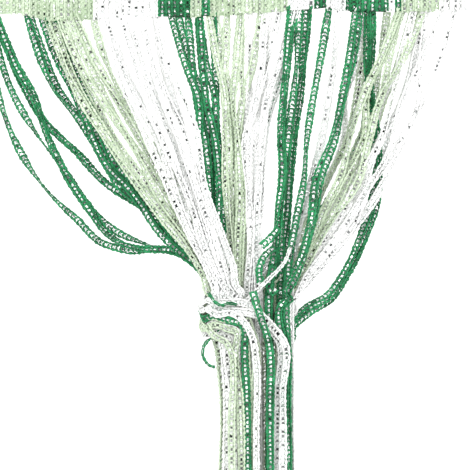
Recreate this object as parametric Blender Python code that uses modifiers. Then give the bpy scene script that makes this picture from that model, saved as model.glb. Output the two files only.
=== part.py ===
"""String door curtain in green, mint and white tapes, gathered along its top and knotted at the middle.

Frame: metres, +Z up. The origin is the middle of the heading's top edge, and the curtain faces -Y.
Sizes below are in millimetres until they are turned into points.
"""

import math
from collections import namedtuple

import bmesh
import bpy
from mathutils import Vector

MM = 0.001

# The heading: a knitted band, gathered into upright folds.
HEADING_WIDTH = 298.0
HEADING_LEFT = -HEADING_WIDTH / 2
HEADING_HEIGHT = 50.0
HEADING_THICK = 2.2
HEADING_STEPS_PER_FOLD = 8
HEADING_ROWS = 3

# The narrow strip under the heading that each colour's strings are knitted into.
STRIP_HEIGHT = 4.0
STRIP_THICK = 1.8
STRIP_GAP = 0.3
ROOT_SHARE = 0.76
# How a string leaves its root: part of the way to the fan's top, share of the sideways way and of the
# way to its own layer, and its width there as a share of the tape's.
Settle = namedtuple("Settle", "part sideways layered width")
SETTLES = [Settle(0.0, 0.0, 0.0, 0.76), Settle(0.3, 0.06, 0.45, 0.5), Settle(0.62, 0.2, 1.0, 0.58)]

# One string: a flat ladder tape.
TAPE_WIDTH = 4.4
TAPE_THICK = 0.9
STRING_LENGTH = 1950.0

# The strings hang in layers, one behind another, and each run of strings keeps its own layers. Where
# a run is wide enough, its strings wander sideways by part of the room between them.
WANDER_ROOM = 0.6
WANDER_LENGTH = 75.0
NEIGHBOUR_LEAST = 5.2
LAYER_PITCH = 1.3
MIDDLE_LAYER = 9.5
TURN_CLEARANCE = 5.0
TURN_LEAST = math.radians(12)
TURN_STEPS = 3
TAIL_BENDS = (60.0, 160.0)
TAIL_SPREAD_WIDE = 1.3
TAIL_SPREAD_DEEP = 1.6
TAIL_CENTRE = 17.0

# The knot: a band of strings from the right goes behind the left bunch and round its front.
WRAP_DROP = 232.0
WRAP_BACK = 13.9
WRAP_PITCH = 1.8
WRAP_LEFT = -13.4
WRAP_CORNER = 4.5
WRAP_TURN_START = -2.0
WRAP_TURN_RADIUS = 14.0

# The folds from the left: width and depth, and how far each dips below the heading's own height.
Fold = namedtuple("Fold", "width depth dip")
FOLDS = [
    Fold(24, 3.4, 0.6), Fold(19, 2.6, -0.6), Fold(26, 4.2, 4.4), Fold(33, 4.8, 2.6),
    Fold(28, 3.6, 1.6), Fold(23, 4.0, 2.0), Fold(30, 4.6, 0.2), Fold(26, 3.4, -1.8),
    Fold(21, 3.4, -3.8), Fold(27, 3.8, -1.0), Fold(22, 3.0, -1.4), Fold(19, 3.4, -2.4),
]

# Where a run hangs: x across, drop below the heading's top edge, width of the run across its own path.
Row = namedtuple("Row", "x drop width")
Run = namedtuple("Run", "first_layer layers rows")
RUNS = {
    "far_left_low": Run(19, 1, [
        Row(-141, 78, 0), Row(-136, 106, 0), Row(-126, 127, 0), Row(-105, 160, 0), Row(-91, 174, 0),
        Row(-76, 186, 0), Row(-61, 191, 0), Row(-40, 193, 0), Row(-22, 196, 0), Row(-8, 210, 0)]),
    "far_left_high": Run(18, 1, [
        Row(-136, 78, 0), Row(-129, 95, 0), Row(-111, 126, 0), Row(-97, 147, 0), Row(-85, 163, 0),
        Row(-70, 177, 0), Row(-49, 189, 0), Row(-36, 192, 0), Row(-19, 195, 0), Row(-4, 208, 0)]),
    "left_pair_low": Run(14, 2, [
        Row(-128, 78, 1), Row(-117, 100, 1), Row(-105, 126, 1), Row(-95, 149, 1), Row(-84, 167, 1),
        Row(-70, 183, 1), Row(-53, 190, 1), Row(-33, 193, 1), Row(-16, 199, 1), Row(0, 212, 1)]),
    "left_pair_high": Run(16, 2, [
        Row(-129, 78, 1), Row(-109, 115, 1), Row(-93, 132, 1), Row(-77, 147, 1), Row(-59, 160, 1),
        Row(-45, 171, 1), Row(-30, 187, 1), Row(-20, 198, 1), Row(-3, 213, 1)]),
    "left_pair_inner": Run(12, 2, [
        Row(-110, 78, 5), Row(-102, 94, 5), Row(-89, 113, 5), Row(-74, 135, 5), Row(-63, 151, 5),
        Row(-47, 168, 5), Row(-33, 183, 5), Row(-18, 196, 5), Row(1, 213, 5)]),
    "left_four": Run(10, 2, [
        Row(-97, 78, 10), Row(-89, 97, 10), Row(-79, 117, 10), Row(-68, 139, 10), Row(-57, 153, 10),
        Row(-47, 165, 10), Row(-39, 175, 10), Row(-28, 189, 10), Row(-16, 199, 10), Row(5, 214, 10)]),
    "left_fan_outer": Run(3, 3, [
        Row(-86, 78, 26), Row(-59, 126, 25), Row(-35, 162, 20), Row(-20, 186, 16), Row(-8, 204, 14.5),
        Row(-3, 216, 14.5)]),
    "left_fan_inner": Run(0, 3, [
        Row(-52, 78, 35), Row(-32, 126, 30), Row(-20, 162, 23), Row(-11, 186, 18), Row(-4, 204, 17),
        Row(0, 216, 17)]),
    "green_fall": Run(6, 4, [
        Row(-17, 78, 19), Row(-12, 102, 16), Row(-10, 126, 14), Row(-7, 150, 11), Row(-5, 174, 10),
        Row(-4, 195, 9), Row(-4, 216, 9)]),
    "middle_fall": Run(6, 4, [
        Row(15, 78, 46), Row(12, 102, 32), Row(10, 126, 25), Row(11, 162, 22), Row(11, 186, 19),
        Row(10.5, 216, 18)]),
    "right_green_a": Run(4, 2, [
        Row(36, 78, 2), Row(34, 102, 2), Row(34, 126, 2), Row(33, 147, 2), Row(30, 168, 2),
        Row(30, 193, 2), Row(26, 216, 2)]),
    "right_green_b": Run(6, 1, [
        Row(42, 78, 0), Row(39, 102, 0), Row(36, 126, 0), Row(34, 162, 0), Row(33, 192, 0),
        Row(31, 216, 0)]),
    "right_green_c": Run(10, 2, [
        Row(46, 78, 2), Row(43, 96, 2), Row(40, 126, 2), Row(39, 147, 2), Row(36, 168, 2),
        Row(34, 189, 2), Row(33, 216, 2)]),
    "right_green_d": Run(3, 1, [
        Row(56, 78, 0), Row(52, 106, 0), Row(48, 126, 0), Row(45, 150, 0), Row(42, 175, 0),
        Row(38, 199, 0), Row(35, 217, 0)]),
    "right_green_e": Run(1, 2, [
        Row(74, 78, 4), Row(69, 102, 4), Row(63, 124, 4), Row(55, 152, 4), Row(51, 177, 4),
        Row(45, 194, 4), Row(41, 207, 4), Row(37, 220, 4)]),
    "right_green_low": Run(12, 3, [
        Row(86, 78, 5), Row(88, 108, 5), Row(90, 138, 5), Row(87, 168, 5), Row(81, 189, 5),
        Row(72, 205, 5), Row(61, 219, 5), Row(49, 228, 5), Row(39, 242, 5)]),
    "right_white": Run(6, 1, [
        Row(64, 78, 0), Row(60, 102, 0), Row(56, 126, 0), Row(48, 162, 0), Row(40, 195, 0),
        Row(37, 217, 0)]),
    "right_fan": Run(7, 3, [
        Row(107, 78, 37), Row(99, 102, 37), Row(91, 126, 35), Row(78, 153, 29), Row(68, 172, 23),
        Row(57, 190, 18), Row(46, 205, 17), Row(34, 222, 17)]),
    "wrap_inner": Run(20, 1, [
        Row(93, 78, 50), Row(87, 102, 44), Row(79, 126, 36), Row(67, 153, 29), Row(57, 171, 26),
        Row(47, 187, 25), Row(37, 202, 25), Row(26, 216, 25), Row(14, 227, 25)]),
    "wrap_outer": Run(21, 1, [
        Row(89, 78, 36), Row(84, 102, 32), Row(78, 126, 26), Row(67, 153, 20), Row(57, 171, 18),
        Row(47, 187, 16), Row(37, 202, 16), Row(26, 216, 16), Row(14, 227, 16)]),
}
WRAPS = ("wrap_inner", "wrap_outer")

# The strings in the order in which they leave the heading, from the left: colour strip by colour strip.
Strip = namedtuple("Strip", "name finish strings")
STRIPS = [
    Strip("strings_green_left", "green_yarn", [
        "far_left_low", "far_left_high", "left_pair_high", "left_pair_high", "left_pair_low",
        "left_pair_low", "left_pair_inner", "left_pair_inner"] + 4 * ["left_four"]),
    Strip("strings_mint_left", "mint_yarn", 8 * ["left_fan_outer"]),
    Strip("strings_white_left", "white_yarn", 10 * ["left_fan_inner"]),
    Strip("strings_green_middle", "green_yarn", 7 * ["green_fall"]),
    Strip("strings_mint_middle", "mint_yarn", 7 * ["middle_fall"]),
    Strip("strings_white_middle", "white_yarn", 7 * ["middle_fall"]),
    Strip("strings_green_inner_right", "green_yarn", [
        "right_green_a", "right_green_a", "right_green_b", "right_green_c", "right_green_c",
        "right_green_d"]),
    Strip("strings_white_inner_right", "white_yarn", ["right_white", "wrap_inner", "wrap_outer"]),
    Strip("strings_green_right", "green_yarn", [
        "right_green_e", "right_green_e", "wrap_outer"] + 3 * ["right_green_low"]),
    Strip("strings_mint_right", "mint_yarn", [
        "wrap_inner", "wrap_inner", "wrap_outer"] + 4 * ["right_fan"]),
    Strip("strings_white_right", "white_yarn", [
        "wrap_inner", "wrap_inner"] + 5 * ["right_fan"]),
]

Finish = namedtuple("Finish", "colour roughness metallic")
FINISHES = {
    "green_yarn": Finish((0.01, 0.19, 0.07, 1), 0.6, 0.0),
    "mint_yarn": Finish((0.62, 0.9, 0.62, 1), 0.6, 0.0),
    "white_yarn": Finish((0.86, 0.88, 0.87, 1), 0.55, 0.1),
    "heading_knit": Finish((0.72, 0.88, 0.74, 1), 0.65, 0.0),
}


def clear_scene():
    for obj in list(bpy.data.objects):
        bpy.data.objects.remove(obj, do_unlink=True)


def finish_material(name):
    finish = FINISHES[name]
    material = bpy.data.materials.new(name)
    material.use_nodes = True
    shader = material.node_tree.nodes["Principled BSDF"]
    shader.inputs["Base Color"].default_value = finish.colour
    shader.inputs["Roughness"].default_value = finish.roughness
    shader.inputs["Metallic"].default_value = finish.metallic
    material.diffuse_color = finish.colour
    return material


def new_object(name, bm, material, collection):
    mesh = bpy.data.meshes.new(name)
    bm.to_mesh(mesh)
    bm.free()
    mesh.materials.append(material)
    obj = bpy.data.objects.new(name, mesh)
    collection.objects.link(obj)
    return obj


def fold_line():
    """Points (x, y, dip) along the heading's lower edge: one wave for each fold, seen from above."""
    scale = HEADING_WIDTH / sum(fold.width for fold in FOLDS)
    points = []
    x = HEADING_LEFT
    for number, fold in enumerate(FOLDS):
        following = FOLDS[min(number + 1, len(FOLDS) - 1)]
        for step in range(HEADING_STEPS_PER_FOLD):
            part = step / HEADING_STEPS_PER_FOLD
            depth = fold.depth + (following.depth - fold.depth) * part
            dip = fold.dip + (following.dip - fold.dip) * part
            wave = math.sin(math.tau * part)
            points.append(Vector((x + part * fold.width * scale, -depth * wave, -dip)))
        x += fold.width * scale
    points.append(Vector((x, 0, -FOLDS[-1].dip)))
    return points


def along(points, distance):
    """The point at this distance along a line of points, and the line's direction there."""
    for start, end in zip(points, points[1:]):
        length = (end - start).length
        if distance <= length or end is points[-1]:
            direction = (end - start).normalized()
            return start + direction * distance, direction
        distance -= length


def line_length(points):
    return sum((end - start).length for start, end in zip(points, points[1:]))


def heading_mesh(points):
    """The gathered band: an open sheet, which Solidify makes thick. Its top edge is level."""
    bm = bmesh.new()
    rows = []
    for row in range(HEADING_ROWS + 1):
        share = row / HEADING_ROWS
        rows.append([bm.verts.new(Vector((p.x, p.y, (p.z - HEADING_HEIGHT) * share)) * MM)
                     for p in points])
    for upper, lower in zip(rows, rows[1:]):
        for i in range(len(points) - 1):
            bm.faces.new((upper[i], lower[i], lower[i + 1], upper[i + 1]))
    return bm


def side_of(path, facing):
    """Across the tape, to the right when it hangs, for a tape that runs along path and faces facing."""
    return facing.cross(path).normalized()


def turn_down(line):
    """The bend that takes a run from its last slope to straight down, wide enough for its inner string."""
    end, facing, width = line[-1]
    slope = end - line[-2][0]
    lean = math.atan2(slope.x, -slope.z)
    if abs(lean) < TURN_LEAST:
        return []
    radius = width / 2 + TURN_CLEARANCE
    bend = []
    for step in range(1, TURN_STEPS + 1):
        left = lean * (1 - step / TURN_STEPS)
        x = end.x + math.copysign(radius, lean) * (math.cos(left) - math.cos(lean))
        z = end.z - radius * (math.sin(abs(lean)) - math.sin(abs(left)))
        bend.append((Vector((x, end.y, z)), facing, width))
    return bend


def guide_points(run_name):
    """Centre line of a run as (point, facing, width), from the fan's top to the knot's exit."""
    run = RUNS[run_name]
    front = Vector((0, -1, 0))
    depth = (run.first_layer - MIDDLE_LAYER) * LAYER_PITCH
    line = [(Vector((row.x, depth, -row.drop)), front, row.width) for row in run.rows]
    if run_name not in WRAPS:
        return line + turn_down(line)
    width = run.rows[-1].width
    over = WRAPS.index(run_name) * WRAP_PITCH
    outward = WRAP_BACK + over
    left = WRAP_LEFT - over
    corner = WRAP_CORNER + over
    line = [(Vector((p.x, outward, p.z)), facing, w) for p, facing, w in line]
    line.append((Vector((left + corner + 5, outward, -WRAP_DROP + 1)), front, width))
    for way in (1, -1):
        centre = Vector((left + corner, way * (outward - corner), -WRAP_DROP))
        for step in range(4):
            turn = math.radians(30 * step)
            swing = turn if way == 1 else math.radians(90) - turn
            out = Vector((-math.sin(swing), way * math.cos(swing), 0))
            line.append((centre + out * corner, -out, width))
    pivot = Vector((WRAP_TURN_START, -outward, -WRAP_DROP - WRAP_TURN_RADIUS))
    for step in range(5):
        turn = math.radians(22.5 * step)
        reach = Vector((math.sin(turn), 0, math.cos(turn))) * WRAP_TURN_RADIUS
        line.append((pivot + reach, Vector((0, 1, 0)), width))
    return line


def string_sections(run_name, place, count, root, root_side):
    """Sections (centre, side, facing, width) of one string, from its root down to its cut end."""
    run = RUNS[run_name]
    guide = guide_points(run_name)
    layer = place % run.layers
    share = (place + 0.5) / count - 0.5
    phase = 2.4 * place + run.first_layer
    middle = []
    for i, (point, facing, width) in enumerate(guide):
        before = guide[max(i - 1, 0)][0]
        after = guide[min(i + 1, len(guide) - 1)][0]
        side = side_of(after - before, facing)
        back = Vector((0, layer * LAYER_PITCH, 0))
        room = max(0.0, run.layers * width / count - NEIGHBOUR_LEAST) * WANDER_ROOM / 2
        offset = share * width + room * math.sin(phase - point.z / WANDER_LENGTH * math.tau)
        middle.append((point + side * offset + back, side, facing, TAPE_WIDTH))
    sections = []
    first = middle[0]
    top = root.z - (HEADING_HEIGHT + STRIP_GAP + STRIP_HEIGHT)
    for settle in SETTLES:
        x = root.x + (first[0].x - root.x) * settle.sideways
        y = root.y + (first[0].y - root.y) * settle.layered
        z = top + (first[0].z - top) * settle.part
        side = root_side.lerp(first[1], settle.layered).normalized()
        sections.append((Vector((x, y, z)), side, TAPE_WIDTH * settle.width))
    for point, side, facing, width in middle:
        sections.append((point, side, width))
    exit_point, exit_side = sections[-1][0], sections[-1][1]
    exit_side = Vector((1 if exit_side.x >= 0 else -1, 0, 0))
    done = sum((b[0] - a[0]).length for a, b in zip(sections, sections[1:]))
    left_over = STRING_LENGTH - done
    for fall in TAIL_BENDS + (left_over,):
        wide = 1 + (TAIL_SPREAD_WIDE - 1) * fall / left_over
        deep = 1 + (TAIL_SPREAD_DEEP - 1) * fall / left_over
        x = TAIL_CENTRE + (exit_point.x - TAIL_CENTRE) * wide
        sections.append((Vector((x, exit_point.y * deep, exit_point.z - fall)), exit_side, TAPE_WIDTH))
    return sections


def grow_string(bm, ring, sections):
    """Extrudes a string from the four corners of its root, section by section, and closes its end."""
    for number, (centre, side, width) in enumerate(sections):
        if number == 0:
            continue
        before = sections[number - 1][0]
        after = sections[min(number + 1, len(sections) - 1)][0]
        path = (after - before).normalized()
        facing = path.cross(side).normalized()
        across = side * (width / 2)
        through = facing * (TAPE_THICK / 2)
        corners = [centre - across + through, centre + across + through,
                   centre + across - through, centre - across - through]
        next_ring = [bm.verts.new(corner * MM) for corner in corners]
        for i in range(4):
            j = (i + 1) % 4
            bm.faces.new((ring[i], next_ring[i], next_ring[j], ring[j]))
        ring = next_ring
    bm.faces.new(ring)


def strip_mesh(points, first_string, strip, pitch, places, counts):
    """A colour's backing strip with its strings grown out of its lower edge."""
    bm = bmesh.new()
    top = -(HEADING_HEIGHT + STRIP_GAP)
    columns = []
    for number in range(len(strip.strings)):
        middle = (first_string + number + 0.5) * pitch
        columns.append(middle - pitch * ROOT_SHARE / 2)
        columns.append(middle + pitch * ROOT_SHARE / 2)
    edges = []
    for distance in columns:
        p, direction = along(points, distance)
        through = Vector((direction.y, -direction.x, 0)).normalized() * (STRIP_THICK / 2)
        high = p + Vector((0, 0, top))
        low = high - Vector((0, 0, STRIP_HEIGHT))
        corners = (high + through, low + through, low - through, high - through)
        edges.append([bm.verts.new(corner * MM) for corner in corners])
    for number, (left, right) in enumerate(zip(edges, edges[1:])):
        for i in range(4):
            j = (i + 1) % 4
            if i == 1 and number % 2 == 0:
                continue
            bm.faces.new((left[i], left[j], right[j], right[i]))
    bm.faces.new(edges[0][::-1])
    bm.faces.new(edges[-1])
    for number, run_name in enumerate(strip.strings):
        left, right = edges[2 * number], edges[2 * number + 1]
        root, direction = along(points, (first_string + number + 0.5) * pitch)
        root_side = Vector((direction.x, direction.y, 0)).normalized()
        place = places[run_name]
        places[run_name] += 1
        sections = string_sections(run_name, place, counts[run_name], root, root_side)
        grow_string(bm, [left[1], right[1], right[2], left[2]], sections)
    bmesh.ops.recalc_face_normals(bm, faces=bm.faces)
    return bm


clear_scene()
curtain = bpy.data.collections.new("fringe_door_curtain")
bpy.context.scene.collection.children.link(curtain)
materials = {name: finish_material(name) for name in FINISHES}
folds = fold_line()

heading = new_object("heading_band", heading_mesh(folds), materials["heading_knit"], curtain)
thick = heading.modifiers.new("thickness", "SOLIDIFY")
thick.thickness = HEADING_THICK * MM
thick.offset = 0

all_strings = [run_name for strip in STRIPS for run_name in strip.strings]
counts = {run_name: all_strings.count(run_name) for run_name in RUNS}
places = dict.fromkeys(RUNS, 0)
string_pitch = line_length(folds) / len(all_strings)
first_string = 0
for strip in STRIPS:
    bm = strip_mesh(folds, first_string, strip, string_pitch, places, counts)
    new_object(strip.name, bm, materials[strip.finish], curtain)
    first_string += len(strip.strings)
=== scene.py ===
import math
from collections import namedtuple

import bmesh
import bpy
import numpy as np
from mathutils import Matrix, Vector


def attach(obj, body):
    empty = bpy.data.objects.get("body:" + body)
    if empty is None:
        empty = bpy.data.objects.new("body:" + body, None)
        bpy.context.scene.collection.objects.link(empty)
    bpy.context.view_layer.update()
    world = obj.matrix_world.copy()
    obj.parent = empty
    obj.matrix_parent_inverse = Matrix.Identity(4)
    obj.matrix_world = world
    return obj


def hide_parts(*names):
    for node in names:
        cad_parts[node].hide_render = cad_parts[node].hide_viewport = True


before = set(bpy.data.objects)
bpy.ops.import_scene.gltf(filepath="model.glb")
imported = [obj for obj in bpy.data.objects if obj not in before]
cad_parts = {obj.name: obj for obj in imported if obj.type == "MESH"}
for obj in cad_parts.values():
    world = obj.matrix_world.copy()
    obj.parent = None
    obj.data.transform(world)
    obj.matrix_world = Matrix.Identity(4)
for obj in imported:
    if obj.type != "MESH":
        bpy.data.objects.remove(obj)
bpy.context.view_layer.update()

bpy.ops.object.select_all(action="DESELECT")
MM = 0.001

# The ladder tape. Every string is a flat tape knitted on a narrow bar: two looped edge cords are
# joined by rungs, and a strip of silver film runs loose down the middle, where it shows between the
# rungs as one long and one short window. One repeat of it is modelled here and laid along each path.
PERIOD = 5.2
CORD_CENTRE = 1.52
CORD_RADIUS = 0.92
CORD_FLATTEN = 0.62
# Along the repeat: place of each ring of an edge cord, and how plump the loop is there.
CORD_RINGS = ((0.0, 0.46), (0.36, 1.26), (0.66, 0.48), (0.86, 1.18), (1.0, 0.46))
CORD_SWING = 0.75
Rung = namedtuple("Rung", "start end")
RUNGS = (Rung(0.02, 0.23), Rung(0.57, 0.75))
RUNG_THICK = 0.7
Film = namedtuple("Film", "start end")
FILMS = (Film(0.14, 0.66), Film(0.66, 1.10))
FILM_WIDTH = 1.6
YARN, FILM, PLAIN = 0, 1, 2


def active_mesh(name):
    """Names the object that an operator has just made, applies its place and gives its mesh."""
    obj = bpy.context.object
    obj.name = name
    bpy.ops.object.transform_apply(location=True, rotation=True, scale=True)
    return obj


def edge_cord(name, x):
    """One looped edge cord over one repeat: a tube of four sides, waisted where the loops meet."""
    bpy.ops.mesh.primitive_cylinder_add(vertices=4, radius=CORD_RADIUS, depth=PERIOD,
                                        end_fill_type="NOTHING", location=(x, 0, PERIOD / 2))
    cord = active_mesh(name)
    bpy.ops.object.mode_set(mode="EDIT")
    bm = bmesh.from_edit_mesh(cord.data)
    for edge in bm.edges:
        edge.select_set(abs(edge.verts[0].co.z - edge.verts[1].co.z) > PERIOD / 2)
    bmesh.update_edit_mesh(cord.data)
    bpy.ops.mesh.subdivide(number_cuts=len(CORD_RINGS) - 2)
    bpy.ops.object.mode_set(mode="OBJECT")
    for vertex in cord.data.vertices:
        place, plump = CORD_RINGS[round(vertex.co.z / PERIOD * (len(CORD_RINGS) - 1))]
        middle = x + math.copysign((plump - 1) * CORD_SWING, x)
        vertex.co = (middle + (vertex.co.x - x) * plump, vertex.co.y * plump * CORD_FLATTEN, place * PERIOD)
    return cord


def ladder_rung(name, rung):
    """A rung between the cords: a box whose two ends are buried in them, so they are left off."""
    bpy.ops.mesh.primitive_cube_add(size=1, location=(0, 0, (rung.start + rung.end) / 2 * PERIOD),
                                    scale=(2 * CORD_CENTRE - 0.9, RUNG_THICK,
                                           (rung.end - rung.start) * PERIOD))
    bar = active_mesh(name)
    bpy.ops.object.mode_set(mode="EDIT")
    bm = bmesh.from_edit_mesh(bar.data)
    for face in bm.faces:
        face.select_set(abs(face.normal.x) > 0.5)
    bmesh.update_edit_mesh(bar.data)
    bpy.ops.mesh.delete(type="ONLY_FACE")
    bpy.ops.object.mode_set(mode="OBJECT")
    return bar


def unit_arrays(objects, kinds):
    """Points, four-sided faces and material numbers of the repeat's pieces together."""
    points, quads, kind = [], [], []
    for obj, number in zip(objects, kinds):
        start = len(points)
        points += [tuple(v.co) for v in obj.data.vertices]
        quads += [[start + i for i in p.vertices] for p in obj.data.polygons]
        kind += [number] * len(obj.data.polygons)
        bpy.data.objects.remove(obj, do_unlink=True)
    return np.array(points), np.array(quads), np.array(kind)


def film_window(name, film):
    """The silver film over one window: a flat facet of its own, so that each can tilt."""
    bpy.ops.mesh.primitive_plane_add(size=1, rotation=(math.pi / 2, 0, 0),
                                     location=(0, 0, (film.start + film.end) / 2 * PERIOD))
    facet = bpy.context.object
    facet.scale = (FILM_WIDTH, (film.end - film.start) * PERIOD, 1)
    return active_mesh(name)


cords = [edge_cord("cord_left", -CORD_CENTRE), edge_cord("cord_right", CORD_CENTRE)]
rungs = [ladder_rung("rung", rung) for rung in RUNGS]
films = [film_window("film", film) for film in FILMS]
ladder = unit_arrays(cords + rungs + films, [YARN] * 4 + [FILM] * 2)

# The plain length of a tape, out of the photo's reach: the same repeat as a flat bar of four sides
# with the loops' wavy edge, whose rungs and windows are drawn by its material.
PLAIN_HALF_WIDTH = 2.35
PLAIN_HALF_THICK = 0.45
bpy.ops.mesh.primitive_cylinder_add(vertices=4, radius=1, depth=PERIOD, end_fill_type="NOTHING",
                                    rotation=(0, 0, math.pi / 4), location=(0, 0, PERIOD / 2))
bar = active_mesh("plain_bar")
bpy.ops.object.mode_set(mode="EDIT")
bm = bmesh.from_edit_mesh(bar.data)
for edge in bm.edges:
    edge.select_set(abs(edge.verts[0].co.z - edge.verts[1].co.z) > PERIOD / 2)
bmesh.update_edit_mesh(bar.data)
bpy.ops.mesh.subdivide(number_cuts=1)
bpy.ops.object.mode_set(mode="OBJECT")
for vertex in bar.data.vertices:
    plump = 1.04 if 0.25 < vertex.co.z / PERIOD < 0.75 else 0.90
    vertex.co = (math.copysign(PLAIN_HALF_WIDTH * plump, vertex.co.x),
                 math.copysign(PLAIN_HALF_THICK, vertex.co.y), vertex.co.z)
plain = unit_arrays([bar], [PLAIN])


def laid_along(unit, path, start, repeats, plump=1.0):
    """The unit laid along a path for a number of repeats, each one welded to the next.

    path holds arrays: s along, centre, side and facing. Gives points, faces, materials, and for each
    point its place across and along the tape.
    """
    points, quads, kind = unit
    first = np.flatnonzero(points[:, 2] < 1e-6)
    last = np.flatnonzero(points[:, 2] > PERIOD - 1e-6)
    welded = np.arange(len(points))
    for i in last:
        gap = np.linalg.norm(points[first][:, :2] - points[i, :2], axis=1)
        if len(first) and gap.min() < 1e-4:
            welded[i] = len(points) + first[gap.argmin()]
    numbers = np.arange(repeats)[:, None]
    local = np.tile(points, (repeats + 1, 1))
    s = start + (local[:, 2].reshape(repeats + 1, -1)
                 + np.arange(repeats + 1)[:, None] * PERIOD).reshape(-1)
    centre = np.stack([np.interp(s, path.s, path.centre[:, k]) for k in range(3)], axis=1)
    side = np.stack([np.interp(s, path.s, path.side[:, k]) for k in range(3)], axis=1)
    facing = np.stack([np.interp(s, path.s, path.facing[:, k]) for k in range(3)], axis=1)
    placed = centre + side * local[:, :1] * plump + facing * local[:, 1:2]
    faces = (welded[quads][None] + numbers[:, :, None] * len(points)).reshape(-1, 4)
    return placed, faces, np.tile(kind, repeats), np.stack([local[:, 0], s], axis=1)


# The finishes. The yarn is a twisted two-ply with a soft sheen, dyed green or mint or left white, with
# painted shade in its hollows. The film is thin metallised plastic, crumpled into tilted windows; each
# window is painted white or black as a reflection, and the white ones are greyed as painted shade.
# Each yarn runs from a dark to a light colour by its tone. The dark end is the dye's deeper side and also painted
# shade, for the holes and hollows of the knitting.
YARN_DYE_AND_SHADE = {
    "green_yarn": ((0.002, 0.045, 0.015, 1), (0.040, 0.430, 0.160, 1)),
    "mint_yarn": ((0.440, 0.560, 0.380, 1), (0.780, 0.880, 0.700, 1)),
    "white_yarn": ((0.860, 0.870, 0.855, 1), (0.970, 0.975, 0.965, 1)),
}
# The film's colours are painted reflections: a white glint and a black one, since the room it would mirror is
# evenly white.
FILM_PAINTED_GLINT = (0.93, 0.95, 0.95, 1)
FILM_PAINTED_BLACK_REFLECTION = (0.012, 0.016, 0.016, 1)
PLY_TURN = 0.62
PLY_SLANT = 1.1
WINDOW_HALF = 0.72
# Share of windows painted black as a reflection, and the least brightness of the white ones; the lower that is,
# the greyer the windows, as painted shade.
FILM_PAINTED_BLACK_SHARE = {"green_yarn": 0.3, "mint_yarn": 0.5, "white_yarn": 0.55}
FILM_PAINTED_GLINT_LEAST = {"green_yarn": 0.5, "mint_yarn": 0.45, "white_yarn": 0.75}
dice = np.random.default_rng(7)


def effect(name, inputs, outputs):
    """A node group with named inputs and outputs, and its two end nodes."""
    tree = bpy.data.node_groups.new(name, "ShaderNodeTree")
    for label, kind in inputs:
        tree.interface.new_socket(label, in_out="INPUT", socket_type=kind)
    for label, kind in outputs:
        tree.interface.new_socket(label, in_out="OUTPUT", socket_type=kind)
    return tree, tree.nodes.new("NodeGroupInput"), tree.nodes.new("NodeGroupOutput")


def arithmetic(tree, operation, first, second=None, third=None):
    """A Math node's result. Numbers are set on its sockets, and other values are linked."""
    node = tree.nodes.new("ShaderNodeMath")
    node.operation = operation
    for socket, value in zip(node.inputs, (first, second, third)):
        if isinstance(value, (int, float)):
            socket.default_value = value
        elif value is not None:
            tree.links.new(value, socket)
    return node.outputs[0]


def noise(tree, vector, scale, detail=2.0):
    node = tree.nodes.new("ShaderNodeTexNoise")
    node.inputs["Scale"].default_value = scale
    node.inputs["Detail"].default_value = detail
    tree.links.new(vector, node.inputs["Vector"])
    return node.outputs["Fac"]


def mixed(tree, share, first, second):
    """A colour between two others."""
    node = tree.nodes.new("ShaderNodeMix")
    node.data_type = "RGBA"
    tree.links.new(share, node.inputs["Factor"])
    for socket, value in ((node.inputs[6], first), (node.inputs[7], second)):
        if isinstance(value, tuple):
            socket.default_value = value
        else:
            tree.links.new(value, socket)
    return node.outputs[2]


def twisted_yarn():
    """Plies that wind round the cord, with loose fibres over them; and slow changes of the dye. The tone also
    falls with the plies' and fibres' height, which paints shade into their hollows.
    """
    tree, given, result = effect("Twisted yarn", [("Place", "NodeSocketVector"), ("String", "NodeSocketFloat")],
                                 [("Height", "NodeSocketFloat"), ("Dye_and_shade", "NodeSocketFloat")])
    split = tree.nodes.new("ShaderNodeSeparateXYZ")
    tree.links.new(given.outputs["Place"], split.inputs[0])
    shifted = tree.nodes.new("ShaderNodeVectorMath")
    shifted.operation = "ADD"
    apart = tree.nodes.new("ShaderNodeCombineXYZ")
    tree.links.new(arithmetic(tree, "MULTIPLY", given.outputs["String"], 37.0), apart.inputs[2])
    tree.links.new(given.outputs["Place"], shifted.inputs[0])
    tree.links.new(apart.outputs[0], shifted.inputs[1])
    slanted = arithmetic(tree, "MULTIPLY_ADD", split.outputs[0], PLY_SLANT, split.outputs[1])
    plies = arithmetic(tree, "SINE", arithmetic(tree, "MULTIPLY", slanted, math.tau / PLY_TURN))
    fibres = noise(tree, shifted.outputs[0], 1.1, 4.0)
    height = arithmetic(tree, "MULTIPLY_ADD", plies, 0.3, arithmetic(tree, "MULTIPLY", fibres, 0.9))
    tree.links.new(height, result.inputs["Height"])
    slow = noise(tree, shifted.outputs[0], 0.12, 1.0)
    # Painted shade: the tone follows the plies and fibres, so the yarn is darker where the bump sinks; the slow
    # noise is the dye's own change.
    dye_and_shade = arithmetic(tree, "MULTIPLY_ADD", plies, 0.15, arithmetic(tree, "MULTIPLY_ADD", fibres, 1.4, slow))
    tree.links.new(arithmetic(tree, "SUBTRACT", dye_and_shade, 0.75), result.inputs["Dye_and_shade"])
    return tree


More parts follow.
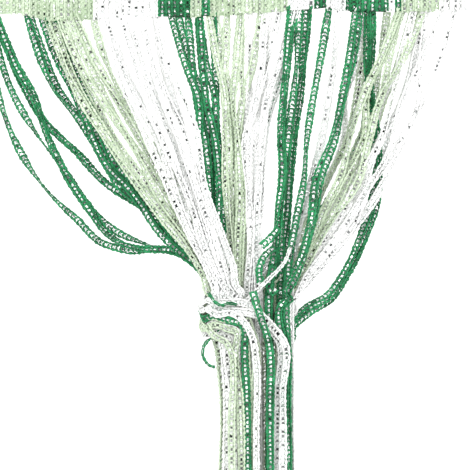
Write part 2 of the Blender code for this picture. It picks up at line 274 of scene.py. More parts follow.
def ladder_windows():
    """One where the tape's windows are, by the place across and along it."""
    tree, given, result = effect("Ladder windows", [("Place", "NodeSocketVector")],
                                 [("Window", "NodeSocketFloat")])
    split = tree.nodes.new("ShaderNodeSeparateXYZ")
    tree.links.new(given.outputs["Place"], split.inputs[0])
    repeat = arithmetic(tree, "FRACT", arithmetic(tree, "DIVIDE", split.outputs[1], PERIOD))
    long = arithmetic(tree, "COMPARE", repeat, (RUNGS[0].end + RUNGS[1].start) / 2,
                      (RUNGS[1].start - RUNGS[0].end) / 2)
    short = arithmetic(tree, "COMPARE", repeat, (RUNGS[1].end + 1) / 2, (1 - RUNGS[1].end) / 2)
    inside = arithmetic(tree, "COMPARE", split.outputs[0], 0.0, WINDOW_HALF)
    tree.links.new(arithmetic(tree, "MULTIPLY", inside, arithmetic(tree, "MAXIMUM", long, short)),
                   result.inputs["Window"])
    return tree


yarn_effect = twisted_yarn()
window_effect = ladder_windows()


def start_material(name):
    """A new material with the tape's own map and the string's value ready, and its shader."""
    material = bpy.data.materials.new(name)
    material.use_nodes = True
    tree = material.node_tree
    shader = tree.nodes["Principled BSDF"]
    place = tree.nodes.new("ShaderNodeUVMap")
    place.uv_map = "tape"
    string = tree.nodes.new("ShaderNodeAttribute")
    string.attribute_name = "string"
    return material, tree, shader, place.outputs[0], string.outputs["Fac"]


def placed_effect(tree, group, place, string=None):
    node = tree.nodes.new("ShaderNodeGroup")
    node.node_tree = group
    tree.links.new(place, node.inputs["Place"])
    if string is not None:
        tree.links.new(string, node.inputs["String"])
    return node


def bumped(tree, height, strength, distance):
    node = tree.nodes.new("ShaderNodeBump")
    node.inputs["Strength"].default_value = strength
    node.inputs["Distance"].default_value = distance
    tree.links.new(height, node.inputs["Height"])
    return node.outputs[0]


def yarn_material(name):
    material, tree, shader, place, string = start_material(name)
    yarn = placed_effect(tree, yarn_effect, place, string)
    shader.inputs["Roughness"].default_value = 0.62
    shader.inputs["Specular IOR Level"].default_value = 0.25
    shader.inputs["Sheen Weight"].default_value = 0.08
    dark, light = YARN_DYE_AND_SHADE[name]
    # The base colour runs dark to light by the tone: partly the dye's own change, partly painted shade in the
    # yarn's hollows.
    tree.links.new(mixed(tree, yarn.outputs["Dye_and_shade"], dark, light), shader.inputs["Base Color"])
    tree.links.new(bumped(tree, yarn.outputs["Height"], 0.5, 0.00025), shader.inputs["Normal"])
    return material


def film_material():
    material, tree, shader, place, string = start_material("silver_film")
    painted_reflection = tree.nodes.new("ShaderNodeAttribute")
    painted_reflection.attribute_name = "painted_reflection"
    crumple = noise(tree, place, 1.4, 3.0)
    shader.inputs["Metallic"].default_value = 0.9
    shader.inputs["Roughness"].default_value = 0.22
    # Painted reflection: each facet's value picks its colour between black and white.
    tree.links.new(mixed(tree, painted_reflection.outputs["Fac"], FILM_PAINTED_BLACK_REFLECTION, FILM_PAINTED_GLINT), shader.inputs["Base Color"])
    tree.links.new(bumped(tree, crumple, 0.6, 0.0004), shader.inputs["Normal"])
    return material


def plain_material(name):
    """The plain length: yarn, with the windows of film drawn between its rungs."""
    material, tree, shader, place, string = start_material("plain_" + name)
    yarn = placed_effect(tree, yarn_effect, place, string)
    window = placed_effect(tree, window_effect, place).outputs["Window"]
    shader.inputs["Sheen Weight"].default_value = 0.08
    # Painted reflection: noise paints each window black or white.
    painted_reflection = arithmetic(tree, "GREATER_THAN", noise(tree, place, 0.9, 1.0), 0.42)
    film = mixed(tree, painted_reflection, FILM_PAINTED_BLACK_REFLECTION, FILM_PAINTED_GLINT)
    dark, light = YARN_DYE_AND_SHADE[name]
    # The yarn's colour runs dark to light by the tone: partly the dye's own change, partly painted shade in its
    # hollows.
    colour = mixed(tree, yarn.outputs["Dye_and_shade"], dark, light)
    tree.links.new(mixed(tree, window, colour, film), shader.inputs["Base Color"])
    tree.links.new(arithmetic(tree, "MULTIPLY", window, 0.9), shader.inputs["Metallic"])
    tree.links.new(arithmetic(tree, "MULTIPLY_ADD", window, -0.4, 0.62), shader.inputs["Roughness"])
    relief = arithmetic(tree, "MULTIPLY_ADD", window, -1.6, yarn.outputs["Height"])
    tree.links.new(bumped(tree, relief, 0.6, 0.0003), shader.inputs["Normal"])
    return material


yarns = {name: yarn_material(name) for name in YARN_DYE_AND_SHADE}
plains = {name: plain_material(name) for name in YARN_DYE_AND_SHADE}
silver = film_material()


def scatter_film(obj, painted_black_share, least):
    """Tilts each film facet and gives it its painted reflection: black in runs along a string, and white to grey
    between, the grey being painted shade.
    """
    mesh = obj.data
    kinds = np.zeros(len(mesh.polygons), np.int32)
    mesh.polygons.foreach_get("material_index", kinds)
    values = np.ones(len(mesh.polygons), np.float32)
    facets = np.flatnonzero(kinds == FILM)
    corners = np.zeros(len(mesh.loops), np.int32)
    mesh.loops.foreach_get("vertex_index", corners)
    places = np.zeros(len(mesh.loops) * 2, np.float32)
    mesh.uv_layers["tape"].data.foreach_get("uv", places)
    strings = np.zeros(len(mesh.vertices), np.float32)
    mesh.attributes["string"].data.foreach_get("value", strings)
    s = places.reshape(-1, 4, 2)[facets, 0, 1]
    string = strings[corners.reshape(-1, 4)[facets, 0]]
    runs = 0.6 * np.sin(s / 9.0 + string * 91.0) + 0.6 * np.sin(s / 29.0 + string * 47.0)
    chance = painted_black_share * np.clip(0.4 + 0.6 * runs, 0.03, 1.5)
    draw = dice.random(len(facets))
    values[facets] = np.where(draw < chance, dice.random(len(facets)) * 0.3, least + (1 - least) * draw)
    painted_reflection = mesh.attributes.new("painted_reflection", "FLOAT", "FACE")
    painted_reflection.data.foreach_set("value", values)
    points = np.zeros(len(mesh.vertices) * 3, np.float32)
    mesh.vertices.foreach_get("co", points)
    points = points.reshape(-1, 3)
    normals = np.zeros(len(mesh.polygons) * 3, np.float32)
    mesh.polygons.foreach_get("normal", normals)
    tilt = (dice.random((len(facets), 4, 1)) - 0.5) * 0.7 * MM
    own = points[corners.reshape(-1, 4)[facets]]
    middle = own.mean(axis=1, keepdims=True)
    shrink = 0.55 + 0.45 * dice.random((len(facets), 1, 1))
    own = middle + (own - middle) * shrink
    points[corners.reshape(-1, 4)[facets]] = own + normals.reshape(-1, 3)[facets][:, None] * tilt
    mesh.vertices.foreach_set("co", points.ravel())
    mesh.update()

# The heading. A band knitted from the same tapes side by side, 50 mm high and 0.36 m wide before it
# is gathered, so each string's colour runs up through it as a stripe. It hangs in upright folds,
# and its lower edge dips and rises with them. Only its lowest part is in the photo.
HEADING_WIDTH = 298.0
HEADING_LEFT = -HEADING_WIDTH / 2
HEADING_HEIGHT = 50.0
FOLD_STEPS = 24
SHEET_ROWS = 12
SHEET_THICK = 0.5
Fold = namedtuple("Fold", "width depth dip")
FOLDS = [
    Fold(24, 3.4, 0.6), Fold(19, 2.6, -0.6), Fold(26, 4.2, 4.4), Fold(33, 4.8, 2.6),
    Fold(28, 3.6, 1.6), Fold(23, 4.0, 2.0), Fold(30, 4.6, 0.2), Fold(26, 3.4, -1.8),
    Fold(21, 3.4, -3.8), Fold(27, 3.8, -1.0), Fold(22, 3.0, -1.4), Fold(19, 3.4, -2.4),
]
Strip = namedtuple("Strip", "name finish strings")
STRIPS = [
    Strip("strings_green_left", "green_yarn", [
        "far_left_low", "far_left_high", "left_pair_high", "left_pair_high", "left_pair_low",
        "left_pair_low", "left_pair_inner", "left_pair_inner"] + 4 * ["left_four"]),
    Strip("strings_mint_left", "mint_yarn", 8 * ["left_fan_outer"]),
    Strip("strings_white_left", "white_yarn", 10 * ["left_fan_inner"]),
    Strip("strings_green_middle", "green_yarn", 7 * ["green_fall"]),
    Strip("strings_mint_middle", "mint_yarn", 7 * ["middle_fall"]),
    Strip("strings_white_middle", "white_yarn", 7 * ["middle_fall"]),
    Strip("strings_green_inner_right", "green_yarn", [
        "right_green_a", "right_green_a", "right_green_b", "right_green_c", "right_green_c",
        "right_green_d"]),
    Strip("strings_white_inner_right", "white_yarn", ["right_white", "wrap_inner", "wrap_outer"]),
    Strip("strings_green_right", "green_yarn", [
        "right_green_e", "right_green_e", "wrap_outer"] + 3 * ["right_green_low"]),
    Strip("strings_mint_right", "mint_yarn", [
        "wrap_inner", "wrap_inner", "wrap_outer"] + 4 * ["right_fan"]),
    Strip("strings_white_right", "white_yarn", [
        "wrap_inner", "wrap_inner"] + 5 * ["right_fan"]),
]
all_strings = [run for strip in STRIPS for run in strip.strings]
# The band's own stripes, each with the place of its right edge.
Stripe = namedtuple("Stripe", "right finish")
STRIPES = [
    Stripe(-78, "mint_yarn"), Stripe(-41.5, "white_yarn"), Stripe(-21.5, "green_yarn"),
    Stripe(-15, "mint_yarn"), Stripe(-10, "green_yarn"), Stripe(37, "mint_yarn"),
    Stripe(52, "white_yarn"), Stripe(60, "green_yarn"), Stripe(70.5, "white_yarn"),
    Stripe(95.5, "green_yarn"), Stripe(101, "white_yarn"), Stripe(107, "green_yarn"),
    Stripe(128, "mint_yarn"), Stripe(150, "white_yarn"),
]

fold_points = []
x = HEADING_LEFT
for number, fold in enumerate(FOLDS):
    following = FOLDS[min(number + 1, len(FOLDS) - 1)]
    for part in np.arange(FOLD_STEPS) / FOLD_STEPS:
        depth = fold.depth + (following.depth - fold.depth) * part
        dip = fold.dip + (following.dip - fold.dip) * part
        fold_points.append((x + part * fold.width, -depth * math.sin(math.tau * part), -dip))
    x += fold.width
fold_points.append((x, 0, -FOLDS[-1].dip))
fold_points = np.array(fold_points)
fold_s = np.concatenate([[0], np.cumsum(np.linalg.norm(np.diff(fold_points[:, :2], axis=0), axis=1))])
FLAT_WIDTH = fold_s[-1]
TAPE_PITCH = FLAT_WIDTH / len(all_strings)


def stripe_at(x):
    """The finish of the band's stripe at this place."""
    return next(stripe.finish for stripe in STRIPES if x <= stripe.right)


def on_folds(distance):
    """Place (x, y, dip) at this distance along the gathered band, and the band's direction there."""
    place = Vector([np.interp(distance, fold_s, fold_points[:, k]) for k in range(3)])
    ahead = Vector([np.interp(distance + 1, fold_s, fold_points[:, k]) for k in range(3)])
    behind = Vector([np.interp(distance - 1, fold_s, fold_points[:, k]) for k in range(3)])
    direction = ahead - behind
    direction.z = 0
    return place, direction.normalized()


Path = namedtuple("Path", "s centre side facing")
# How far, in mm, each point of the knitting lies off its even place.
HAND_MADE = 0.2


def straight_path(top, bottom, side, facing):
    length = (bottom - top).length
    return Path(np.array([0.0, length]), np.array([top, bottom]), np.array([side, side]),
                np.array([facing, facing]))


def joined_mesh(name, laid, materials, string_values):
    """One mesh from many laid tapes, with the tapes' own map and each tape's own value."""
    offset = 0
    points, faces, kinds, places, values = [], [], [], [], []
    for (placed, quads, kind, place), value in zip(laid, string_values):
        points.append(placed)
        faces.append(quads + offset)
        kinds.append(kind)
        places.append(place)
        values.append(np.full(len(placed), value))
        offset += len(placed)
    points, faces, kinds, places, values = map(np.concatenate, (points, faces, kinds, places, values))
    used = np.unique(faces)
    renumber = np.zeros(len(points), int)
    renumber[used] = np.arange(len(used))
    points, places, values, faces = points[used], places[used], values[used], renumber[faces]
    points = points + (dice.random(points.shape) - 0.5) * 2 * HAND_MADE
    mesh = bpy.data.meshes.new(name)
    mesh.vertices.add(len(points))
    mesh.vertices.foreach_set("co", (points * MM).astype(np.float32).ravel())
    mesh.loops.add(faces.size)
    mesh.loops.foreach_set("vertex_index", faces.astype(np.int32).ravel())
    mesh.polygons.add(len(faces))
    mesh.polygons.foreach_set("loop_start", np.arange(len(faces), dtype=np.int32) * 4)
    mesh.polygons.foreach_set("material_index", kinds.astype(np.int32))
    mesh.polygons.foreach_set("use_smooth", kinds == YARN)
    tape_map = mesh.uv_layers.new(name="tape")
    tape_map.data.foreach_set("uv", places[faces.ravel()].astype(np.float32).ravel())
    tape_value = mesh.attributes.new("string", "FLOAT", "POINT")
    tape_value.data.foreach_set("value", values.astype(np.float32))
    mesh.update(calc_edges=True)
    for material in materials:
        mesh.materials.append(material)
    obj = bpy.data.objects.new(name, mesh)
    bpy.context.collection.objects.link(obj)
    return obj


HEM_RAGGED = 1.1


def heading_sheet(name):
    """The band itself: a grid bent along the folds, with the lower edge at its dip, and made 0.5 mm thick."""
    columns = len(fold_points) - 1
    bpy.ops.mesh.primitive_grid_add(x_subdivisions=columns, y_subdivisions=SHEET_ROWS, size=1)
    sheet = active_mesh(name)
    for vertex in sheet.data.vertices:
        column = round((vertex.co.x + 0.5) * columns)
        share = 0.5 - vertex.co.y
        x, y, dip = fold_points[column]
        vertex.co = Vector((x, y, (dip - HEADING_HEIGHT) * share)) * MM
    stripes = sheet.data.attributes.new("stripe", "FLOAT_COLOR", "FACE")
    for face in sheet.data.polygons:
        # Painted shade: each stripe takes the dark end of its yarn's colours, to darken the gaps between the
        # tapes.
        stripes.data[face.index].color = YARN_DYE_AND_SHADE[stripe_at(face.center.x / MM)][0]
    bpy.ops.object.modifier_add(type="SOLIDIFY")
    sheet.modifiers[-1].thickness = SHEET_THICK * MM
    sheet.modifiers[-1].offset = 0
    bpy.ops.object.modifier_apply(modifier=sheet.modifiers[-1].name)
    sheet.data.materials.append(sheet_material())
    return sheet


def sheet_material():
    """Close knitting behind the tapes, in the dark end of the covering tape's colour, which is painted shade in
    the gaps between the tapes.
    """
    material = bpy.data.materials.new("heading_knit")
    material.use_nodes = True
    tree = material.node_tree
    shader = tree.nodes["Principled BSDF"]
    stripe = tree.nodes.new("ShaderNodeAttribute")
    stripe.attribute_name = "stripe"
    place = tree.nodes.new("ShaderNodeTexCoord")
    loops = noise(tree, place.outputs["Object"], 900.0, 2.0)
    shader.inputs["Roughness"].default_value = 0.7
    tree.links.new(stripe.outputs["Color"], shader.inputs["Base Color"])
    tree.links.new(bumped(tree, loops, 0.4, 0.0004), shader.inputs["Normal"])
    return material


sheet = heading_sheet("heading_sheet")
heading_laid = {name: [] for name in YARN_DYE_AND_SHADE}
for number in range(len(all_strings)):
    place, direction = on_folds((number + 0.5) * TAPE_PITCH)
    finish = stripe_at(place.x)
    facing = Vector((direction.y, -direction.x, 0))
    ahead = facing * (SHEET_THICK / 2 + 0.1)
    top = Vector((place.x, place.y, 0)) + ahead
    ragged = (dice.random() - 0.5) * 2 * HEM_RAGGED
    bottom = Vector((place.x, place.y, place.z - HEADING_HEIGHT - ragged)) + ahead
    repeats = round((bottom - top).length / PERIOD)
    path = straight_path(top, bottom, direction, facing)
    stretched = path._replace(s=path.s * repeats * PERIOD / path.s[-1])
    heading_laid[finish].append((laid_along(ladder, stretched, 0, repeats), number / len(all_strings)))
for finish, laid in heading_laid.items():
    tapes = joined_mesh("heading_tapes_" + finish.split("_")[0], [tape for tape, value in laid],
                        [yarns[finish], silver], [value for tape, value in laid])
    # The heading's windows are painted greyer than the strings', as painted shade among the knitted loops.
    scatter_film(tapes, FILM_PAINTED_BLACK_SHARE[finish], FILM_PAINTED_GLINT_LEAST[finish] * 0.4)
    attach(tapes, "root")
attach(sheet, "root")
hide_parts("heading_band")

# The strings. Each run is a group of strings that hangs the same way: its rows give the middle of the
# group, how far below the heading's top that is, and the group's width there. All of them gather at
# one loose knot; the wrap runs go round the others there and drop out in front.
Row = namedtuple("Row", "x drop width")
Run = namedtuple("Run", "first_layer layers rows")
RUNS = {
    "far_left_low": Run(19, 1, [
        Row(-141, 78, 0), Row(-136, 106, 0), Row(-126, 127, 0), Row(-105, 160, 0), Row(-91, 174, 0),
        Row(-76, 186, 0), Row(-61, 191, 0), Row(-40, 193, 0), Row(-22, 196, 0), Row(-8, 210, 0)]),
    "far_left_high": Run(18, 1, [
        Row(-136, 78, 0), Row(-129, 95, 0), Row(-111, 126, 0), Row(-97, 147, 0), Row(-85, 163, 0),
        Row(-70, 177, 0), Row(-49, 189, 0), Row(-36, 192, 0), Row(-19, 195, 0), Row(-4, 208, 0)]),
    "left_pair_low": Run(14, 2, [
        Row(-128, 78, 1), Row(-117, 100, 1), Row(-105, 126, 1), Row(-95, 149, 1), Row(-84, 167, 1),
        Row(-70, 183, 1), Row(-53, 190, 1), Row(-33, 193, 1), Row(-16, 199, 1), Row(0, 212, 1)]),
    "left_pair_high": Run(16, 2, [
        Row(-129, 78, 1), Row(-109, 115, 1), Row(-93, 132, 1), Row(-77, 147, 1), Row(-59, 160, 1),
        Row(-45, 171, 1), Row(-30, 187, 1), Row(-20, 198, 1), Row(-3, 213, 1)]),
    "left_pair_inner": Run(12, 2, [
        Row(-110, 78, 5), Row(-102, 94, 5), Row(-89, 113, 5), Row(-74, 135, 5), Row(-63, 151, 5),
        Row(-47, 168, 5), Row(-33, 183, 5), Row(-18, 196, 5), Row(1, 213, 5)]),
    "left_four": Run(10, 2, [
        Row(-97, 78, 10), Row(-89, 97, 10), Row(-79, 117, 10), Row(-68, 139, 10), Row(-57, 153, 10),
        Row(-47, 165, 10), Row(-39, 175, 10), Row(-28, 189, 10), Row(-16, 199, 10), Row(5, 214, 10)]),
    "left_fan_outer": Run(3, 3, [
        Row(-86, 78, 26), Row(-59, 126, 25), Row(-35, 162, 20), Row(-20, 186, 16), Row(-8, 204, 14.5),
        Row(-3, 216, 14.5)]),
    "left_fan_inner": Run(0, 3, [
        Row(-52, 78, 35), Row(-32, 126, 30), Row(-20, 162, 23), Row(-11, 186, 18), Row(-4, 204, 17),
        Row(0, 216, 17)]),
    "green_fall": Run(6, 4, [
        Row(-17, 78, 19), Row(-12, 102, 16), Row(-10, 126, 14), Row(-7, 150, 11), Row(-5, 174, 10),
        Row(-4, 195, 9), Row(-4, 216, 9)]),
    "middle_fall": Run(6, 4, [
        Row(15, 78, 46), Row(12, 102, 32), Row(10, 126, 25), Row(11, 162, 22), Row(11, 186, 19),
        Row(10.5, 216, 18)]),
    "right_green_a": Run(4, 2, [
        Row(36, 78, 2), Row(34, 102, 2), Row(34, 126, 2), Row(33, 147, 2), Row(30, 168, 2),
        Row(30, 193, 2), Row(26, 216, 2)]),
    "right_green_b": Run(6, 1, [
        Row(42, 78, 0), Row(39, 102, 0), Row(36, 126, 0), Row(34, 162, 0), Row(33, 192, 0),
        Row(31, 216, 0)]),
    "right_green_c": Run(10, 2, [
        Row(46, 78, 2), Row(43, 96, 2), Row(40, 126, 2), Row(39, 147, 2), Row(36, 168, 2),
        Row(34, 189, 2), Row(33, 216, 2)]),
    "right_green_d": Run(3, 1, [
        Row(56, 78, 0), Row(52, 106, 0), Row(48, 126, 0), Row(45, 150, 0), Row(42, 175, 0),
        Row(38, 199, 0), Row(35, 217, 0)]),
    "right_green_e": Run(1, 2, [
        Row(74, 78, 4), Row(69, 102, 4), Row(63, 124, 4), Row(55, 152, 4), Row(51, 177, 4),
        Row(45, 194, 4), Row(41, 207, 4), Row(37, 220, 4)]),
    "right_green_low": Run(12, 3, [
        Row(86, 78, 5), Row(88, 108, 5), Row(90, 138, 5), Row(87, 168, 5), Row(81, 189, 5),
        Row(72, 205, 5), Row(61, 219, 5), Row(49, 228, 5), Row(39, 242, 5)]),
    "right_white": Run(6, 1, [
        Row(64, 78, 0), Row(60, 102, 0), Row(56, 126, 0), Row(48, 162, 0), Row(40, 195, 0),
        Row(37, 217, 0)]),
    "right_fan": Run(7, 3, [
        Row(107, 78, 37), Row(99, 102, 37), Row(91, 126, 35), Row(78, 153, 29), Row(68, 172, 23),
        Row(57, 190, 18), Row(46, 205, 17), Row(34, 222, 17)]),
    "wrap_inner": Run(20, 1, [
        Row(93, 78, 50), Row(87, 102, 44), Row(79, 126, 36), Row(67, 153, 29), Row(57, 171, 26),
        Row(47, 187, 25), Row(37, 202, 25), Row(26, 216, 25), Row(14, 227, 25)]),
    "wrap_outer": Run(21, 1, [
        Row(89, 78, 36), Row(84, 102, 32), Row(78, 126, 26), Row(67, 153, 20), Row(57, 171, 18),
        Row(47, 187, 16), Row(37, 202, 16), Row(26, 216, 16), Row(14, 227, 16)]),
}
WRAPS = ("wrap_inner", "wrap_outer")
STRING_LENGTH = 1950.0
TAPE_WIDE = 4.8
WANDER_ROOM = 0.8
WANDER_LENGTH = 75.0
NEIGHBOUR_LEAST = 5.2
LAYER_PITCH = 1.3
MIDDLE_LAYER = 9.5
# The strings are sewn behind the band's lower edge, and bunch there towards the place of their run.
ROOT_GATHER = 0.9
ROOT_SLANT = 0.8
ROOT_BEHIND = 1.4
ROOT_HIDDEN = 3.0
# How a string leaves the heading: part of the way down to the run's first row, and how far it has
# moved sideways and into its layer by then.
Settle = namedtuple("Settle", "part sideways layered")
SETTLES = (Settle(0, 0, 0), Settle(0.35, 0.33, 0.4), Settle(0.7, 0.68, 0.9))
TURN_CLEARANCE = 5.0
TURN_LEAST = math.radians(12)
TURN_STEPS = 3
TAIL_BENDS = (32.0, 160.0)
TAIL_SPREAD_WIDE = 1.3
TAIL_SPREAD_DEEP = 1.6
TAIL_CENTRE = 17.0
# The knot draws the strings on its left in, so the tail is narrower than the wrap there.
TAIL_SQUEEZE = 0.8
TAIL_WAVE = 2.2
TAIL_ROLL = 0.5
WIDE_USUAL = 0.95
WIDE_CHANGE = 0.08
TANGLE = 1.2
# The two white wraps in front turn down further to the right than the rest.
FAR_TURNS = {"wrap_inner": 8.0, "wrap_outer": 17.0}
WRAP_DROP = 232.0
WRAP_BACK = 13.9
WRAP_PITCH = 1.8
WRAP_LEFT = -13.4
WRAP_CORNER = 4.5
WRAP_TURN_START = -2.0
WRAP_TURN_RADIUS = 14.0
PATH_STEP = 2.5
DETAIL_DROP = 340.0


def side_of(path, facing):
    """Across the tape, to the right when it hangs, for a tape that runs along path and faces facing."""
    return facing.cross(path).normalized()


def turn_down(line):
    """The bend that takes a run from its last slope to straight down, wide enough for its inner string."""
    end, facing, width = line[-1]
    slope = end - line[-2][0]
    lean = math.atan2(slope.x, -slope.z)
    if abs(lean) < TURN_LEAST:
        return []
    radius = width / 2 + TURN_CLEARANCE
    bend = []
    for step in range(1, TURN_STEPS + 1):
        left = lean * (1 - step / TURN_STEPS)
        x = end.x + math.copysign(radius, lean) * (math.cos(left) - math.cos(lean))
        z = end.z - radius * (math.sin(abs(lean)) - math.sin(abs(left)))
        bend.append((Vector((x, end.y, z)), facing, width))
    return bend


def guide_points(run_name):
    """Centre line of a run as (point, facing, width), from the fan's top to the knot's exit."""
    run = RUNS[run_name]
    front = Vector((0, -1, 0))
    depth = (run.first_layer - MIDDLE_LAYER) * LAYER_PITCH
    line = [(Vector((row.x, depth, -row.drop)), front, row.width) for row in run.rows]
    if run_name not in WRAPS:
        return line + turn_down(line)
    width = run.rows[-1].width
    over = WRAPS.index(run_name) * WRAP_PITCH
    outward = WRAP_BACK + over
    left = WRAP_LEFT - over
    corner = WRAP_CORNER + over
    line = [(Vector((p.x, outward, p.z)), facing, w) for p, facing, w in line]
    line.append((Vector((left + corner + 5, outward, -WRAP_DROP + 1)), front, width))
    for way in (1, -1):
        centre = Vector((left + corner, way * (outward - corner), -WRAP_DROP))
        for step in range(4):
            turn = math.radians(30 * step)
            swing = turn if way == 1 else math.radians(90) - turn
            out = Vector((-math.sin(swing), way * math.cos(swing), 0))
            line.append((centre + out * corner, -out, width))
    pivot = Vector((WRAP_TURN_START, -outward, -WRAP_DROP - WRAP_TURN_RADIUS))
    for step in range(5):
        turn = math.radians(22.5 * step)
        reach = Vector((math.sin(turn), 0, math.cos(turn))) * WRAP_TURN_RADIUS
        line.append((pivot + reach, Vector((0, 1, 0)), width))
    return line


def string_sections(run_name, place, count, root, root_side):
    """Sections (centre, side) of one string, from its root down to its cut end."""
    run = RUNS[run_name]
    guide = guide_points(run_name)
    layer = place % run.layers
    share = (place + 0.5) / count - 0.5
    phase = 2.4 * place + run.first_layer
    middle = []
    for i, (point, facing, width) in enumerate(guide):
        before = guide[max(i - 1, 0)][0]
        after = guide[min(i + 1, len(guide) - 1)][0]
        side = side_of(after - before, facing)
        back = Vector((0, layer * LAYER_PITCH, 0))
        room = max(0.0, run.layers * width / count - NEIGHBOUR_LEAST) * WANDER_ROOM / 2
        offset = share * width + room * math.sin(phase - point.z / WANDER_LENGTH * math.tau)
        offset += TANGLE * math.sin(phase * 5 + i * 1.9) * min(i, 1)
        if run_name in WRAPS and place == 0:
            back.x = FAR_TURNS[run_name] * max(0, i - len(guide) + 5) / 4
        middle.append((point + side * offset + back, side))
    sections = []
    first, first_side = middle[0]
    slant = (first.x - middle[1][0].x) / (first.z - middle[1][0].z)
    straight_up = first.x + slant * (root.z - HEADING_HEIGHT - first.z) * ROOT_SLANT
    gathered = root.x + (straight_up - root.x) * ROOT_GATHER
    root, direction = on_folds(np.interp(gathered, fold_points[:, 0], fold_s))
    root += Vector((-direction.y, direction.x, 0)) * ROOT_BEHIND
    top = root.z - HEADING_HEIGHT + ROOT_HIDDEN
    for settle in SETTLES:
        x = root.x + (first.x - root.x) * settle.sideways
        y = root.y + (first.y - root.y) * settle.layered
        z = top + (first.z - top) * settle.part
        side = root_side.lerp(first_side, settle.layered).normalized()
        sections.append((Vector((x, y, z)), side))
    sections += middle
    exit_point, exit_side = sections[-1]
    exit_side = Vector((1 if exit_side.x >= 0 else -1, 0, 0))
    done = sum((b[0] - a[0]).length for a, b in zip(sections, sections[1:]))
    left_over = STRING_LENGTH - done
    for fall in TAIL_BENDS + (left_over,):
        wide = 1 + (TAIL_SPREAD_WIDE - 1) * fall / left_over
        deep = 1 + (TAIL_SPREAD_DEEP - 1) * fall / left_over
        drawn_in = TAIL_SQUEEZE if exit_point.x < TAIL_CENTRE else 1
        x = TAIL_CENTRE + (exit_point.x - TAIL_CENTRE) * wide * drawn_in
        sections.append((Vector((x, exit_point.y * deep, exit_point.z - fall)), exit_side))
    return sections


def unit_rows(rows):
    return rows / np.linalg.norm(rows, axis=1, keepdims=True)


def smooth_path(sections, roll, wave, seed, lean=0.0):
    """A smooth path through the sections, whose tape rolls from side to side by up to roll radians.

    wave is how far, in mm, the straight length below the photo wanders.
    """
    places = np.array([tuple(point) for point, side in sections])
    sides = np.array([tuple(side) for point, side in sections])
    knots = np.concatenate([[0], np.cumsum(np.linalg.norm(np.diff(places, axis=0), axis=1))])
    slopes = np.gradient(places, knots, axis=0)
    s = np.append(np.arange(0, knots[-1], PATH_STEP), knots[-1])
    i = np.clip(np.searchsorted(knots, s, "right") - 1, 0, len(knots) - 2)
    span = (knots[i + 1] - knots[i])[:, None]
    t = (s[:, None] - knots[i][:, None]) / span
    centre = ((2 * t**3 - 3 * t**2 + 1) * places[i] + (t**3 - 2 * t**2 + t) * span * slopes[i]
              + (3 * t**2 - 2 * t**3) * places[i + 1] + (t**3 - t**2) * span * slopes[i + 1])
    side = sides[i] * (1 - t) + sides[i + 1] * t
    phase = seed * 17.0
    below = np.clip((-centre[:, 2] - 300) / 500, 0, 1)
    centre[:, 0] += below * wave * np.sin(centre[:, 2] / 83 + phase)
    centre[:, 1] += below * wave * np.sin(centre[:, 2] / 127 + phase * 1.7)
    along = unit_rows(np.gradient(centre, s, axis=0))
    facing = unit_rows(np.cross(along, side))
    side = np.cross(facing, along)
    free = np.clip((s - 8) / 30, 0, 1) * np.interp(-centre[:, 2], (190, 260), (1, TAIL_ROLL))
    turn = roll * free * (0.7 * np.sin(s / 27 + phase) + 0.3 * np.sin(s / 10.3 + phase * 2.3))
    turn = (turn + lean)[:, None]
    wide = WIDE_USUAL + WIDE_CHANGE * np.sin(s / 14 + phase * 3.1)[:, None]
    rolled = (side * np.cos(turn) + facing * np.sin(turn)) * wide
    faced = facing * np.cos(turn) - side * np.sin(turn)
    length = np.concatenate([[0], np.cumsum(np.linalg.norm(np.diff(centre, axis=0), axis=1))])
    return Path(length, centre, rolled, faced)


# How far the tapes of each group roll: the single green strings turn most, and the close fans least.
ROLLS = {"far_left_low": 1.5, "far_left_high": 1.5, "left_pair_high": 1.2, "left_pair_low": 1.2,
         "left_pair_inner": 1.2, "left_four": 0.6, "green_fall": 0.6, "right_green_low": 1.3}
USUAL_ROLL = 1.1
counts = {run: all_strings.count(run) for run in RUNS}
taken = dict.fromkeys(RUNS, 0)
number = 0
for strip in STRIPS:
    laid, values = [], []
    for run in strip.strings:
        place, direction = on_folds((number + 0.5) * TAPE_PITCH)
        seed = (number * 0.6180339) % 1
        sections = string_sections(run, taken[run], counts[run], place, direction)
        taken[run] += 1
        path = smooth_path(sections, ROLLS.get(run, USUAL_ROLL), TAIL_WAVE, seed)
        low = path.s[np.flatnonzero(path.centre[:, 2] > -DETAIL_DROP)[-1]]
        detailed = math.ceil(low / PERIOD)
        rest = int((path.s[-1] - detailed * PERIOD) / PERIOD)
        laid.append(laid_along(ladder, path, 0, detailed))
        laid.append(laid_along(plain, path, detailed * PERIOD, rest))
        values += [seed, seed]
        number += 1
    piece = joined_mesh("ladder_" + strip.name, laid, [yarns[strip.finish], silver, plains[strip.finish]], values)
    scatter_film(piece, FILM_PAINTED_BLACK_SHARE[strip.finish], FILM_PAINTED_GLINT_LEAST[strip.finish])
    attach(piece, "root")
    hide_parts(strip.name)

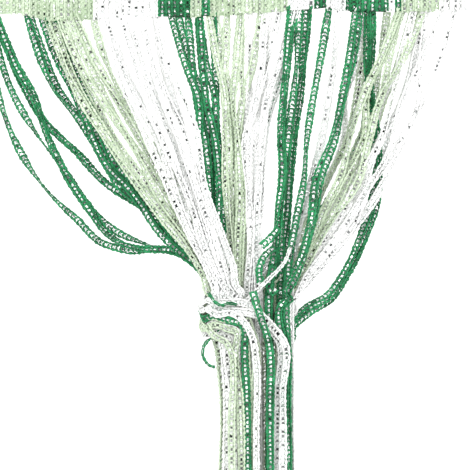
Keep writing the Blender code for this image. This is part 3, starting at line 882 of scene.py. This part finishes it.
# Loose loops and ends that stand out of the knot. Each place is across and below the heading's top,
# depth is how far in front of the curtain's middle they lie, and lean turns the tape edge-on.
Loose = namedtuple("Loose", "finish depth lean places")
LOOSE = [
    Loose("green_yarn", 12.0, 1.25, [(-4, 238), (-9, 243), (-13.6, 249), (-14.2, 255), (-10.4, 260.4), (-2, 262)]),
    Loose("green_yarn", 18.2, 1.25, [(-10.5, 217), (-8, 221.5), (-3, 224.6), (2, 223), (8.5, 225.2)]),
    Loose("green_yarn", 9.5, 0.3, [(31, 178), (27.5, 183), (23.6, 187), (20.6, 189.5)]),
    Loose("green_yarn", 10.0, 0.5, [(29, 190), (24, 193.6), (20.4, 199), (19.2, 205), (20.2, 210), (17.8, 215)]),
    Loose("green_yarn", 10.5, 0.2, [(27.6, 201), (26.2, 208), (25.4, 214.6), (27.8, 217.6), (29.6, 213.5)]),
    Loose("white_yarn", 12.5, 1.25, [(38, 190), (34.5, 199), (27, 207), (18.8, 215), (10, 224), (4, 236)]),
    Loose("white_yarn", 18.0, 0.5, [
        (-12, 226), (-6, 230), (2, 229), (9, 233), (15, 243), (17.5, 258), (17.6, 300), (18, 345)]),
    Loose("green_yarn", 19.5, 0.1, [
        (15.4, 216), (18.2, 225), (20.8, 233), (23.6, 241), (25.6, 250), (26.4, 261), (26, 276), (26.6, 345)]),
    Loose("mint_yarn", 17.5, 0.6, [
        (-12, 237), (-7, 243), (-1, 246), (3, 253), (4, 265), (3, 290), (3.6, 345)]),
]
loose_laid = {name: [] for name in YARN_DYE_AND_SHADE}
for number, loose in enumerate(LOOSE):
    line = [Vector((x, -loose.depth, -drop)) for x, drop in loose.places]
    sections = []
    for i, place in enumerate(line):
        run = line[min(i + 1, len(line) - 1)] - line[max(i - 1, 0)]
        sections.append((place, side_of(run, Vector((0, -1, 0)))))
    path = smooth_path(sections, 0.3, 0, number / len(LOOSE), loose.lean)
    repeats = int(path.s[-1] / PERIOD)
    loose_laid[loose.finish].append((laid_along(ladder, path, 0, repeats), number / len(LOOSE)))
for finish, laid in loose_laid.items():
    piece = joined_mesh("loose_ends_" + finish.split("_")[0], [tape for tape, value in laid],
                        [yarns[finish], silver], [value for tape, value in laid])
    scatter_film(piece, FILM_PAINTED_BLACK_SHARE[finish], FILM_PAINTED_GLINT_LEAST[finish])
    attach(piece, "root")

# The stage: a pale floor under the curtain's ends, an even white surround and large soft lamps in
# front. The room has no dark side; the film's black windows are painted reflections.
FLOOR_DROP = 2.02
bpy.ops.mesh.primitive_plane_add(size=14, location=(0, 0, -FLOOR_DROP))
floor = active_mesh("floor")
paint = bpy.data.materials.new("pale_floor")
paint.use_nodes = True
paint.node_tree.nodes["Principled BSDF"].inputs["Base Color"].default_value = (0.8, 0.8, 0.8, 1)
paint.node_tree.nodes["Principled BSDF"].inputs["Roughness"].default_value = 0.8
floor.data.materials.append(paint)
world = bpy.data.worlds.new("white_room")
world.use_nodes = True
world.node_tree.nodes["Background"].inputs["Color"].default_value = (1.0, 1.0, 1.0, 1)
world.node_tree.nodes["Background"].inputs["Strength"].default_value = 1.35
bpy.context.scene.world = world
LAMPS = (("key", (-1.3, -1.9, 0.7), 1.1, 20), ("fill", (1.5, -1.7, 0.2), 1.3, 12))
for name, place, size, power in LAMPS:
    bpy.ops.object.light_add(type="AREA", location=place)
    lamp = bpy.context.object
    lamp.name = name
    lamp.data.size = size
    lamp.data.energy = power
    lamp.rotation_euler = (Vector((0, 0, -0.2)) - Vector(place)).to_track_quat("-Z", "Y").to_euler()
bpy.context.scene.view_settings.view_transform = "Standard"

# The camera looks straight at the curtain from the front, at the height of the photo's middle.
PHOTO_MIDDLE = Vector((0.005, 0, -0.1826))
PHOTO_WIDE = 0.282
CAMERA_AWAY = 2.2
bpy.ops.object.camera_add(location=PHOTO_MIDDLE - Vector((0, CAMERA_AWAY, 0)),
                          rotation=(math.pi / 2, 0, 0))
camera = bpy.context.object
camera.data.sensor_width = 36
camera.data.lens = 36 * CAMERA_AWAY / PHOTO_WIDE
bpy.context.scene.camera = camera
